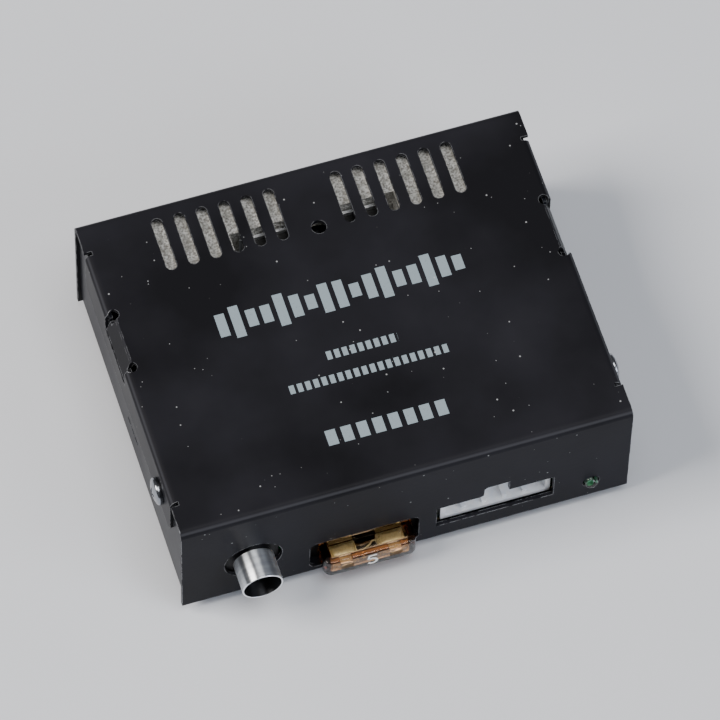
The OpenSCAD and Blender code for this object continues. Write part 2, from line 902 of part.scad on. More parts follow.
// Resistors lying along X
module resistors() {
  color("#c9a878")
    for (p = beads)
      translate([p[0], front_y + p[1], deck + 1.25])
        rotate([0, 90, 0]) {
          cylinder(r = 0.95, h = 5, center = true);
          for (s = [-1, 1]) translate([0, 0, s * 2.1]) cylinder(r = 1.15, h = 1.4, center = true);
        }
}

module resistor_leads() {
  reach = 4;
  color("#c8cacd")
    for (p = beads, s = [-1, 1])
      translate([p[0], front_y + p[1], deck + 1.25]) {
        translate([s * (2.8 + reach) / 2, 0, 0])
          rotate([0, 90, 0]) cylinder(r = 0.25, h = reach - 2.8, center = true);
        translate([s * reach, 0, lead_end - deck - 1.25]) cylinder(r = 0.25, h = deck - lead_end + 1.5);
      }
}

module rectifier_diode() {
  color("#1b1b1d")
    translate([diode[0], front_y + diode[1], deck + 2.7])
      rotate([0, 90, 0]) cylinder(r = 2.6, h = 9, center = true);
}

top_cover();
chassis();
rubber_feet();
side_screws();
pcb();
pcb_screws();
insulating_sheet();
heat_sink();
heat_sink_screws();
thermal_pads();
power_transistors();
transistor_tabs();
transistor_leads();
clamp_bar();
clamp_screw();
jack_housing();
jack_shell();
jack_insulator();
jack_contact();
jack_terminals();
fuse_body();
fuse_element();
fuse_holder();
fuse_contacts();
header_housing();
header_pins();
lamp_lens();
lamp_leads();
capacitor_cans();
capacitor_sleeves();
capacitor_bungs();
capacitor_leads();
toroid_core();
toroid_winding();
choke_core();
choke_winding();
film_capacitors();
driver_ics();
driver_ic_pins();
resistors();
resistor_leads();
rectifier_diode();
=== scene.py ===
"""Looks of a compact car amplifier: a black bent steel case with a slotted top, and along its
front a plated phono jack, a clear amber fuse, a white nylon header and a green lamp."""

import json
import math

import bmesh
import bpy
from mathutils import Matrix, Vector


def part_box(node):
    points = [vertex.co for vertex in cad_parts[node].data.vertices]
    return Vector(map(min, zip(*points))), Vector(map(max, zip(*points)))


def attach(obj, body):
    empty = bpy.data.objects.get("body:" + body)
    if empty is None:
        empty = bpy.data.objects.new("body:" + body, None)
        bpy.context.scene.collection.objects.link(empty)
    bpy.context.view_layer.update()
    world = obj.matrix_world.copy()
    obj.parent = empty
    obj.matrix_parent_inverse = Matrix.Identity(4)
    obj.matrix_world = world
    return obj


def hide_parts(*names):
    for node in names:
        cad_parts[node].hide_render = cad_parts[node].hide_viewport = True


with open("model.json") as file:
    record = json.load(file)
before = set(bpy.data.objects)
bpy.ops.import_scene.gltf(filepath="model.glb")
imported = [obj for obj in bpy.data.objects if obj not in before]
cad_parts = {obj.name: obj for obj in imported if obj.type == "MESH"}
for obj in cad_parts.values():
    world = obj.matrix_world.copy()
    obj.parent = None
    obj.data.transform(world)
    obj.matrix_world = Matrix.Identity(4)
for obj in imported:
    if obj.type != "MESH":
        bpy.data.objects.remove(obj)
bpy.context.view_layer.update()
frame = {"nodes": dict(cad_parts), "record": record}
NODES = frame["nodes"]
MM = 0.001


def corners(node):
    """The low and the high corner of a CAD piece's box, in metres."""
    low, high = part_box(node)
    return Vector(low), Vector(high)


COVER_LOW, COVER_HIGH = corners("top_cover")
CASE_MID = (COVER_LOW + COVER_HIGH) / 2
TOP_Z = COVER_HIGH.z
HALF_W = COVER_HIGH.x
SHARP_FROM = math.radians(32)     # the shading is smooth across edges flatter than this

# ---------------------------------------------------------------- helpers


def colour(code):
    """An sRGB hex colour, such as "1c1d20", as linear RGBA."""
    parts = [int(code[i:i + 2], 16) / 255 for i in (0, 2, 4)]
    return [p / 12.92 if p <= 0.04045 else ((p + 0.055) / 1.055) ** 2.4 for p in parts] + [1.0]


def per(size_mm):
    """The texture scale, per metre, that gives a pattern that size."""
    return 1 / (size_mm * MM)


def add(tree, kind, inputs=None, out=0, **settings):
    """Adds a node with its settings, and its inputs as values or as other nodes' outputs, and
    gives one of its own outputs."""
    node = tree.nodes.new("ShaderNode" + kind)
    for name, value in settings.items():
        setattr(node, name, value)
    for name, value in (inputs or {}).items():
        if isinstance(value, bpy.types.NodeSocket):
            tree.links.new(value, node.inputs[name])
        else:
            node.inputs[name].default_value = value
    return node.outputs[out] if node.outputs else None


def start(name):
    """A new empty material: (the material, its tree, places on the object in metres)."""
    material = bpy.data.materials.new(name)
    material.use_nodes = True
    tree = material.node_tree
    tree.nodes.clear()
    return material, tree, add(tree, "TexCoord", out="Object")


# ---------------------------------------------------------------- patterns


def specks(tree, at, spacing_mm, size_mm, share):
    """1 on small round specks, of which that share of the cells has one."""
    cell = add(tree, "TexVoronoi", {"Vector": at, "Scale": per(spacing_mm)}, "Distance")
    reach = size_mm / spacing_mm
    near = add(tree, "MapRange", {"Value": cell, "From Min": reach, "From Max": reach * 0.6})
    pick = add(tree, "SeparateColor", {"Color": cell.node.outputs["Color"]})
    chosen = add(tree, "Math", {0: pick, 1: share}, operation="LESS_THAN")
    return add(tree, "Math", {0: near, 1: chosen}, operation="MULTIPLY")


def hairlines(tree, at, spacing_mm, length_mm, turn, share):
    """1 on thin straight hairlines of about that length, turned from X, on faces that look up."""
    along = add(tree, "Mapping", {"Vector": at, "Rotation": (0, 0, turn),
                                  "Scale": (length_mm / spacing_mm, 1, 1)}, vector_type="TEXTURE")
    field = add(tree, "TexNoise", {"Vector": along, "Scale": per(spacing_mm), "Detail": 2})
    # A hairline runs where the drawn-out noise passes its middle value
    line = add(tree, "Math", {0: field, 1: 0.5, 2: 0.004}, operation="COMPARE")
    group = add(tree, "TexNoise", {"Vector": at, "Scale": per(length_mm * 1.3), "Detail": 1})
    patch = add(tree, "MapRange", {"Value": group, "From Min": 1 - share, "From Max": 1.05 - share})
    level = add(tree, "SeparateXYZ", {"Vector": add(tree, "NewGeometry", out="Normal")}, "Z")
    top = add(tree, "Math", {0: level, 1: 0.8}, operation="GREATER_THAN")
    line = add(tree, "Math", {0: line, 1: top}, operation="MULTIPLY")
    return add(tree, "Math", {0: line, 1: patch}, operation="MULTIPLY")


def edge_wear(tree, at, width_mm, patch_mm):
    """1 in patches along outside and inside edges, for a band of about that width."""
    rounded = add(tree, "Bevel", {"Radius": width_mm * MM}, samples=6)
    plain = add(tree, "NewGeometry", out="Normal")
    same = add(tree, "VectorMath", {0: rounded, 1: plain}, "Value", operation="DOT_PRODUCT")
    edge = add(tree, "MapRange", {"Value": same, "From Min": 0.985, "From Max": 0.9})
    field = add(tree, "TexNoise", {"Vector": at, "Scale": per(patch_mm), "Detail": 4})
    patch = add(tree, "MapRange", {"Value": field, "From Min": 0.44, "From Max": 0.52})
    return add(tree, "Math", {0: edge, 1: patch}, operation="MULTIPLY")


def painted_bend_highlight(tree):
    """1 where a face lies halfway between the top and a side: a painted highlight along the bends.
    """
    normal = add(tree, "SeparateXYZ", {"Vector": add(tree, "NewGeometry", out="Normal")}, "Z")
    off_half = add(tree, "Math", {0: normal, 1: 0.7}, operation="SUBTRACT")
    off_half = add(tree, "Math", {0: off_half}, operation="ABSOLUTE")
    return add(tree, "MapRange", {"Value": off_half, "From Min": 0.18, "From Max": 0.05})


# How far each bar of the print is along the sine wave of their heights, in radians per bar
WAVE_STEP = 1.9
# The generic print on the cover, in mm, centred across the case: (how far behind its middle,
# width, bar pitch, bar width, height, how much the height varies)
PRINT_ROWS = (
    (6.0, 51.5, 3.03, 2.0, 6.2, 0.34),
    (-6.5, 14.6, 1.62, 1.05, 1.9, 0.0),
    (-11.7, 33.0, 1.65, 1.05, 1.9, 0.0),
    (-24.0, 25.6, 3.2, 2.1, 3.4, 0.0),
)


def printed_bars(tree, at, row):
    """1 on a row of upright bars, as a level meter shows, on the top of the case."""
    behind, width, pitch, bar, height, swing = row
    x = add(tree, "SeparateXYZ", {"Vector": at}, "X")
    y, z = x.node.outputs["Y"], x.node.outputs["Z"]
    off_y = add(tree, "Math", {0: y, 1: CASE_MID.y + behind * MM}, operation="SUBTRACT")
    off_y = add(tree, "Math", {0: off_y}, operation="ABSOLUTE")
    off_x = add(tree, "Math", {0: x}, operation="ABSOLUTE")
    count = add(tree, "Math", {0: x, 1: per(pitch), 2: width / pitch / 2}, operation="MULTIPLY_ADD")
    part = add(tree, "Math", {0: count}, operation="FRACT")
    step = add(tree, "Math", {0: count}, operation="FLOOR")
    phase = add(tree, "Math", {0: step, 1: WAVE_STEP}, operation="MULTIPLY")
    wave = add(tree, "Math", {0: phase}, operation="SINE")
    half = height / 2 * MM
    reach = add(tree, "Math", {0: wave, 1: half * swing, 2: half * (1 - swing / 2)},
                operation="MULTIPLY_ADD")
    shown = add(tree, "Math", {0: z, 1: TOP_Z - 0.05 * MM}, operation="GREATER_THAN")
    for value, limit in ((part, bar / pitch), (off_x, width / 2 * MM), (off_y, reach)):
        inside = add(tree, "Math", {0: value, 1: limit}, operation="LESS_THAN")
        shown = add(tree, "Math", {0: shown, 1: inside}, operation="MULTIPLY")
    return shown


# ---------------------------------------------------------------- materials


def baked_paint(name, base, sheen, print_rows=()):
    """Satin black enamel baked on sheet steel: nearly black, with a soft sheen, faint orange
    peel, a little dust, hairline scratches, thin bright wear where the sheet was cut, and a
    painted highlight along the bends."""
    material, tree, at = start(name)
    haze = add(tree, "TexNoise", {"Vector": at, "Scale": per(34), "Detail": 4})
    haze = add(tree, "MapRange", {"Value": haze, "From Min": 0.35, "From Max": 0.7})
    dust = add(tree, "Math", {0: specks(tree, at, 1.5, 0.12, 0.2),
                              1: specks(tree, at, 2.6, 0.22, 0.3)}, operation="MAXIMUM")
    scratches = add(tree, "Math", {0: hairlines(tree, at, 2.2, 34, 0.5, 0.36),
                                   1: hairlines(tree, at, 3.1, 22, 2.2, 0.33)}, operation="MAXIMUM")
    worn = edge_wear(tree, at, 0.25, 1.6)
    paint = add(tree, "MixRGB", {"Fac": haze, "Color1": colour(base), "Color2": colour("26262b")})
    # (where, how strongly, colour), from the paint upwards
    # The first layer is a painted highlight: it lightens the bends by how they face
    layers = [(painted_bend_highlight(tree), 0.4, "4c4d52"), (scratches, 0.16, "8b8d90"), (dust, 0.6, "b3b5b6"),
              (worn, 0.75, "a4a6aa")]
    # The ink lies on the painted bend highlight, under the scratches, and is slightly worn in specks
    bare = add(tree, "TexNoise", {"Vector": at, "Scale": per(0.5), "Detail": 3})
    kept = add(tree, "MapRange", {"Value": bare, "From Min": 0.25, "From Max": 0.4, "To Min": 0.75})
    for row in print_rows:
        ink = add(tree, "Math", {0: printed_bars(tree, at, row), 1: kept}, operation="MULTIPLY")
        layers.insert(1, (ink, 1.0, "87949b"))
    for mask, strength, code in layers:
        cover = add(tree, "Math", {0: mask, 1: strength}, operation="MULTIPLY")
        paint = add(tree, "MixRGB", {"Fac": cover, "Color1": paint, "Color2": colour(code)})
    smooth = add(tree, "MapRange", {"Value": haze, "To Min": 0.34, "To Max": 0.46})
    rough = add(tree, "Math", {0: dust, 1: 0.3, 2: smooth}, operation="MULTIPLY_ADD")
    peel = add(tree, "TexNoise", {"Vector": at, "Scale": per(0.9), "Detail": 2})
    height = add(tree, "Math", {0: dust, 1: 1.5, 2: peel}, operation="MULTIPLY_ADD")
    bare_steel = add(tree, "Math", {0: worn, 1: 0.8}, operation="MULTIPLY")
    skin = add(tree, "BsdfPrincipled", {
        "Base Color": paint, "Roughness": rough, "Metallic": bare_steel,
        "Specular IOR Level": sheen,
        "Normal": add(tree, "Bump", {"Height": height, "Distance": 0.012 * MM})})
    add(tree, "OutputMaterial", {"Surface": skin})
    return material


def plated(name, base, rough, stain, stained="8e8f8c"):
    """Plated, oxidised or bare metal, turned, drawn or rolled: faint tool marks, and duller
    patches where it has been handled."""
    material, tree, at = start(name)
    marks = add(tree, "TexNoise", {"Vector": at, "Scale": per(0.5), "Detail": 4})
    patch = add(tree, "TexNoise", {"Vector": at, "Scale": per(2.5), "Detail": 4})
    dull = add(tree, "MapRange", {"Value": patch, "From Min": 0.45, "From Max": 0.8,
                                  "To Max": stain})
    metal = add(tree, "MixRGB", {"Fac": dull, "Color1": colour(base), "Color2": colour(stained)})
    soft = add(tree, "MapRange", {"Value": marks, "From Min": 0.3, "From Max": 0.7,
                                  "To Min": rough, "To Max": rough * 1.5})
    skin = add(tree, "BsdfPrincipled", {
        "Base Color": metal, "Metallic": 1.0, "Roughness": soft,
        "Normal": add(tree, "Bump", {"Height": marks, "Distance": 0.0006 * MM})})
    add(tree, "OutputMaterial", {"Surface": skin})
    return material


def turned_nickel():
    """Nickel plate over turned brass. The tool left fine rings round the barrel, and they
    stretch each highlight into a bright stripe along it. The rings are drawn at 0.4 mm,
    coarser than the real ones, so that they show. Inside the bore the nickel is painted
    darker, as painted shade in the deep barrel."""
    low, high = corners("jack_shell")
    axis = (low + high) / 2
    bore_edge = (high.x - low.x) / 2 - 0.3 * MM      # just inside the barrel's wall
    material, tree, at = start("turned_nickel")
    flat = add(tree, "Mapping", {"Vector": at, "Scale": (0.05, 1, 0.05)})
    rings = add(tree, "TexNoise", {"Vector": flat, "Scale": per(0.4), "Detail": 3})
    tone = add(tree, "MapRange", {"Value": rings, "From Min": 0.3, "From Max": 0.7})
    soft = add(tree, "MapRange", {"Value": rings, "From Min": 0.3, "From Max": 0.7,
                                  "To Min": 0.28, "To Max": 0.36})
    metal = add(tree, "MixRGB", {"Fac": tone, "Color1": colour("e9eef4"),
                                 "Color2": colour("fafdff")})
    off_axis = add(tree, "VectorMath", {0: at, 1: axis}, operation="SUBTRACT")
    off_axis = add(tree, "VectorMath", {0: off_axis, 1: (1, 0, 1)}, operation="MULTIPLY")
    radius = add(tree, "VectorMath", {0: off_axis}, "Value", operation="LENGTH")
    # Inside the barrel's wall the colour is darkened: painted shade for the deep bore
    bore_shade = add(tree, "Math", {0: radius, 1: bore_edge}, operation="LESS_THAN")
    skin = add(tree, "BsdfPrincipled", {
        "Base Color": add(tree, "MixRGB", {"Fac": bore_shade, "Color1": metal,
                                           "Color2": colour("55565a")}),
        "Metallic": 1.0, "Roughness": soft, "Anisotropic": 0.85, "Anisotropic Rotation": 0.25,
        "Tangent": add(tree, "Tangent", direction_type="RADIAL", axis="Y"),
        "Normal": add(tree, "Bump", {"Height": rings, "Distance": 0.002 * MM})})
    add(tree, "OutputMaterial", {"Surface": skin})
    return material


def cast_aluminium():
    """Die-cast aluminium, as it left the mould: pale warm grey, finely speckled and pitted. The
    grain is drawn at 0.45 mm, coarser than the real one, so that it shows."""
    material, tree, at = start("cast_aluminium")
    mottle = add(tree, "TexNoise", {"Vector": at, "Scale": per(1.6), "Detail": 3})
    mottle = add(tree, "MapRange", {"Value": mottle, "From Min": 0.35, "From Max": 0.65})
    grain = add(tree, "TexNoise", {"Vector": at, "Scale": per(0.45), "Detail": 3})
    dark = add(tree, "MapRange", {"Value": grain, "From Min": 0.38, "From Max": 0.58,
                                  "To Min": 0.85, "To Max": 0.0})
    pits = specks(tree, at, 0.55, 0.2, 0.4)
    metal = add(tree, "MixRGB", {"Fac": mottle, "Color1": colour("c8c7c1"),
                                 "Color2": colour("fbfaf6")})
    metal = add(tree, "MixRGB", {"Fac": dark, "Color1": metal, "Color2": colour("8c8880")})
    pitted = add(tree, "Math", {0: pits, 1: 0.4}, operation="MULTIPLY")
    metal = add(tree, "MixRGB", {"Fac": pitted, "Color1": metal, "Color2": colour("6a675f")})
    soft = add(tree, "MapRange", {"Value": grain, "From Min": 0.3, "From Max": 0.7,
                                  "To Min": 0.62, "To Max": 0.42})
    height = add(tree, "Math", {0: grain, 1: pits}, operation="SUBTRACT")
    skin = add(tree, "BsdfPrincipled", {
        "Base Color": metal, "Metallic": 0.3, "Roughness": soft,
        "Normal": add(tree, "Bump", {"Height": height, "Distance": 0.05 * MM})})
    add(tree, "OutputMaterial", {"Surface": skin})
    return material


def stamped_zinc():
    """Stamped fuse zinc, slightly frosted by the die: pale yellow and bright from every side."""
    material, tree, at = start("stamped_zinc")
    grain = add(tree, "TexNoise", {"Vector": at, "Scale": per(0.6), "Detail": 3})
    tone = add(tree, "MapRange", {"Value": grain, "From Min": 0.3, "From Max": 0.7})
    soft = add(tree, "MapRange", {"Value": grain, "From Min": 0.3, "From Max": 0.7,
                                  "To Min": 0.26, "To Max": 0.4})
    skin = add(tree, "BsdfPrincipled", {
        "Base Color": add(tree, "MixRGB", {"Fac": tone, "Color1": colour("fdf9d8"),
                                           "Color2": colour("e6deae")}),
        "Metallic": 0.45, "Roughness": soft,
        "Normal": add(tree, "Bump", {"Height": grain, "Distance": 0.02 * MM})})
    add(tree, "OutputMaterial", {"Surface": skin})
    return material


def clear_plastic(name, dye, per_metre, ior, rough):
    """Clear moulded plastic with its dye all through, so that thick walls look deeper than
    thin ones, and faint flow marks on its skin."""
    material, tree, at = start(name)
    flow = add(tree, "TexNoise", {"Vector": at, "Scale": per(1.5), "Detail": 2})
    soft = add(tree, "MapRange", {"Value": flow, "From Min": 0.3, "From Max": 0.7,
                                  "To Min": rough, "To Max": rough * 2})
    skin = add(tree, "BsdfPrincipled", {
        "Base Color": colour("ffffff"), "Transmission Weight": 1.0, "IOR": ior, "Roughness": soft,
        "Normal": add(tree, "Bump", {"Height": flow, "Distance": 0.006 * MM})})
    add(tree, "OutputMaterial", {
        "Surface": skin,
        "Volume": add(tree, "VolumeAbsorption", {"Color": colour(dye), "Density": per_metre})})
    return material


def natural_nylon():
    """Natural nylon 66, moulded: milky cool white that glows a little at thin edges."""
    material, tree, at = start("natural_nylon")
    flow = add(tree, "TexNoise", {"Vector": at, "Scale": per(1.8), "Detail": 3})
    tone = add(tree, "MapRange", {"Value": flow, "From Min": 0.35, "From Max": 0.7})
    soft = add(tree, "MapRange", {"Value": flow, "From Min": 0.3, "From Max": 0.7,
                                  "To Min": 0.34, "To Max": 0.46})
    grain = add(tree, "TexNoise", {"Vector": at, "Scale": per(0.35), "Detail": 2})
    skin = add(tree, "BsdfPrincipled", {
        "Base Color": add(tree, "MixRGB", {"Fac": tone, "Color1": colour("ffffff"),
                                           "Color2": colour("eff3fa")}),
        "Roughness": soft, "IOR": 1.53, "Subsurface Weight": 0.2,
        "Subsurface Radius": (0.9, 0.95, 1.0), "Subsurface Scale": 0.5 * MM,
        "Normal": add(tree, "Bump", {"Height": grain, "Distance": 0.006 * MM})})
    add(tree, "OutputMaterial", {"Surface": skin})
    return material


def moulded(name, base, rough, grain_mm=0.3, depth_mm=0.01, scuffed="3a3b3e", sheen=0.4):
    """Moulded or dipped plastic, rubber or epoxy: even colour with a fine spark-eroded grain,
    slightly paler where it is scuffed."""
    material, tree, at = start(name)
    grain = add(tree, "TexNoise", {"Vector": at, "Scale": per(grain_mm), "Detail": 3})
    patch = add(tree, "TexNoise", {"Vector": at, "Scale": per(4), "Detail": 4})
    scuff = add(tree, "MapRange", {"Value": patch, "From Min": 0.55, "From Max": 0.8,
                                   "To Max": 0.5})
    soft = add(tree, "MapRange", {"Value": grain, "From Min": 0.3, "From Max": 0.7,
                                  "To Min": rough, "To Max": rough * 1.3})
    skin = add(tree, "BsdfPrincipled", {
        "Base Color": add(tree, "MixRGB", {"Fac": scuff, "Color1": colour(base),
                                           "Color2": colour(scuffed)}),
        "Roughness": soft, "Specular IOR Level": sheen,
        "Normal": add(tree, "Bump", {"Height": grain, "Distance": depth_mm * MM})})
    add(tree, "OutputMaterial", {"Surface": skin})
    return material


def circuit_board():
    """Glass fibre board under green solder mask: copper tracks show as paler bands, and the
    weave of the glass gives the gloss a fine check."""
    material, tree, at = start("circuit_board")
    tracks = add(tree, "TexBrick", {"Vector": at, "Scale": 1.0, "Mortar Size": 0.45 * MM,
                                    "Brick Width": 9 * MM, "Row Height": 3.1 * MM}, "Fac",
                 offset=0.37)
    weave = add(tree, "TexWave", {"Vector": at, "Scale": per(12)}, "Fac",
                bands_direction="DIAGONAL")
    skin = add(tree, "BsdfPrincipled", {
        "Base Color": add(tree, "MixRGB", {"Fac": tracks, "Color1": colour("0f4a2a"),
                                           "Color2": colour("1c6b3c")}),
        "Roughness": add(tree, "MapRange", {"Value": weave, "To Min": 0.25, "To Max": 0.34}),
        "Normal": add(tree, "Bump", {"Height": tracks, "Distance": 0.03 * MM})})
    add(tree, "OutputMaterial", {"Surface": skin})
    return material


def fish_paper():
    """Vulcanised fibre sheet: matt, straw coloured, with short fibres."""
    material, tree, at = start("fish_paper")
    drawn = add(tree, "Mapping", {"Vector": at, "Rotation": (0, 0, 0.6), "Scale": (3, 1, 1)},
                vector_type="TEXTURE")
    fibres = add(tree, "TexNoise", {"Vector": drawn, "Scale": per(0.5), "Detail": 4})
    skin = add(tree, "BsdfPrincipled", {
        "Base Color": add(tree, "MixRGB", {"Fac": fibres, "Color1": colour("d9c79a"),
                                           "Color2": colour("b79f6c")}),
        "Roughness": 0.85,
        "Normal": add(tree, "Bump", {"Height": fibres, "Distance": 0.02 * MM})})
    add(tree, "OutputMaterial", {"Surface": skin})
    return material


def pale_floor():
    """Matt painted board with faint wide clouds in its coat."""
    material, tree, at = start("pale_floor")
    clouds = add(tree, "TexNoise", {"Vector": at, "Scale": per(60), "Detail": 2})
    skin = add(tree, "BsdfPrincipled", {
        "Base Color": add(tree, "MixRGB", {"Fac": clouds, "Color1": colour("cfd2d8"),
                                           "Color2": colour("d6d8dd")}),
        "Roughness": 0.55, "Specular IOR Level": 0.3})
    add(tree, "OutputMaterial", {"Surface": skin})
    return material


# ---------------------------------------------------------------- shapes


def finish_piece(name, mesh, material, body, replaced=()):
    """Puts a finished mesh in the scene as a piece of that body."""
    mesh.name = name
    piece = bpy.data.objects.new(name, mesh)
    bpy.context.scene.collection.objects.link(piece)
    mesh.materials.append(material)
    for face in mesh.polygons:
        face.use_smooth = True
    mesh.set_sharp_from_angle(angle=SHARP_FROM)
    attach(piece, body)
    if replaced:
        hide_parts(*replaced)


def arc(centre, radius, first, last, steps):
    """Points on a round stretch of an outline, angles in degrees."""
    angles = [math.radians(first + (last - first) * i / steps) for i in range(steps + 1)]
    return [(centre[0] + radius * math.cos(a), centre[1] + radius * math.sin(a)) for a in angles]


def lathe(outline, turn, segments):
    """A mesh turned round Z from (radius, height) points in mm, then moved by turn. A point on
    the axis is one vertex there, and any other is a ring."""
    work = bmesh.new()
    angles = [2 * math.pi * i / segments for i in range(segments)]
    rings = []
    for radius, height in outline:
        around = [(math.cos(a), math.sin(a)) for a in angles] if radius > 0 else [(0, 0)]
        rings.append([work.verts.new((radius * MM * x, radius * MM * y, height * MM))
                      for x, y in around])
    for lower, upper in zip(rings, rings[1:]):
        for i in range(segments):
            j = (i + 1) % segments
            if len(lower) == 1:
                work.faces.new((lower[0], upper[j], upper[i]))
            elif len(upper) == 1:
                work.faces.new((lower[i], lower[j], upper[0]))
            else:
                work.faces.new((lower[i], lower[j], upper[j], upper[i]))
    bmesh.ops.recalc_face_normals(work, faces=work.faces)
    bmesh.ops.transform(work, matrix=turn, verts=work.verts)
    mesh = bpy.data.meshes.new("turned")
    work.to_mesh(mesh)
    work.free()
    return mesh


def facing(direction, at):
    """Moves Z to that direction and the origin to that place."""
    return Matrix.Translation(at) @ Vector(direction).to_track_quat("Z", "Y").to_matrix().to_4x4()


def joined(meshes):
    """Several meshes as one."""
    work = bmesh.new()
    for mesh in meshes:
        work.from_mesh(mesh)
        bpy.data.meshes.remove(mesh)
    whole = bpy.data.meshes.new("joined")
    work.to_mesh(whole)
    work.free()
    return whole


def block(low, high, radius=0.0, steps=3, edges=None):
    """A box in mm. All its edges are rounded to that radius, or each pair in edges gives a
    radius and a test that picks the edges it is for."""
    work = bmesh.new()
    bmesh.ops.create_cube(work, size=1)
    size = Vector(high) - Vector(low)
    bmesh.ops.scale(work, vec=size, verts=work.verts)
    bmesh.ops.translate(work, vec=(Vector(high) + Vector(low)) / 2, verts=work.verts)
    for rounding, test in edges or ((radius, lambda a, b: True),):
        picked = [e for e in work.edges if test(e.verts[0].co, e.verts[1].co)]
        if rounding > 0:
            bmesh.ops.bevel(work, geom=picked, offset=rounding, segments=steps, profile=0.5,
                            affect="EDGES", clamp_overlap=True)
    mesh = bpy.data.meshes.new("block")
    work.to_mesh(mesh)
    work.free()
    return mesh


def combined(first, second, operation):
    """The boolean of two meshes."""
    pair = []
    for mesh in (first, second):
        thing = bpy.data.objects.new("work", mesh)
        bpy.context.scene.collection.objects.link(thing)
        pair.append(thing)
    step = pair[0].modifiers.new("boolean", "BOOLEAN")
    step.object, step.operation, step.solver = pair[1], operation, "EXACT"
    graph = bpy.context.evaluated_depsgraph_get()
    result = bpy.data.meshes.new_from_object(pair[0].evaluated_get(graph))
    for thing in pair:
        bpy.data.objects.remove(thing)
    for mesh in (first, second):
        bpy.data.meshes.remove(mesh)
    return result


def centred(middle, half_w, first, last, half_t, **rounding):
    """A block in mm that reaches half_w to each side of middle along X, from first to last
    along Y, and half_t up and down from 0."""
    return block((middle - half_w, first, -half_t), (middle + half_w, last, half_t), **rounding)


def placed(mesh, at):
    """A mesh in mm, brought to metres and moved to that place."""
    mesh.transform(Matrix.Translation(at) @ Matrix.Scale(MM, 4))
    return mesh


def strokes(paths, width, depth):
    """Flat strokes in the XZ plane that face -Y, each along its points, in mm."""
    work = bmesh.new()
    for path in paths:
        points = [Vector((x, 0, z)) for x, z in path]
        rows = []
        for i, point in enumerate(points):
            along = (points[min(i + 1, len(points) - 1)] - points[max(i - 1, 0)]).normalized()
            side = Vector((-along.z, 0, along.x)) * width / 2
            rows.append([work.verts.new(point + s * side + Vector((0, y, 0)))
                         for s, y in ((1, 0), (-1, 0), (-1, -depth), (1, -depth))])
        for one, two in zip(rows, rows[1:]):
            for k in range(4):
                work.faces.new((one[k], one[(k + 1) % 4], two[(k + 1) % 4], two[k]))
        work.faces.new(rows[0][::-1])
        work.faces.new(rows[-1])
    bmesh.ops.recalc_face_normals(work, faces=work.faces)
    mesh = bpy.data.meshes.new("strokes")
    work.to_mesh(mesh)
    work.free()
    return mesh


# ---------------------------------------------------------------- fuse

# The fuse in mm: Y runs in from its outer end, and X and Z from its middle
HEAD, WAIST = 5.0, 12.0           # how far in the head and the waist reach
WAIST_HALF = (8.2, 2.05)          # half the waist's width and thickness
HEAD_ROOM = (7.9, 1.95)           # half the width and thickness of the hollow in the head
WAIST_ROOM = (7.6, 1.35)          # and in the waist
BLADE_X = 5.0                     # how far each blade's middle stands from the fuse's
BLADE_W, BLADE_T = 5.2, 0.65
PROBE_HALF = (1.3, 0.75)          # half the width and height of a probe slot in the end
SHOULDER_HALF = (2.35, 1.15)      # half the width and thickness of a blade's raised shoulder
RIM_W = 0.24                      # how wide the rims beside the shoulders are


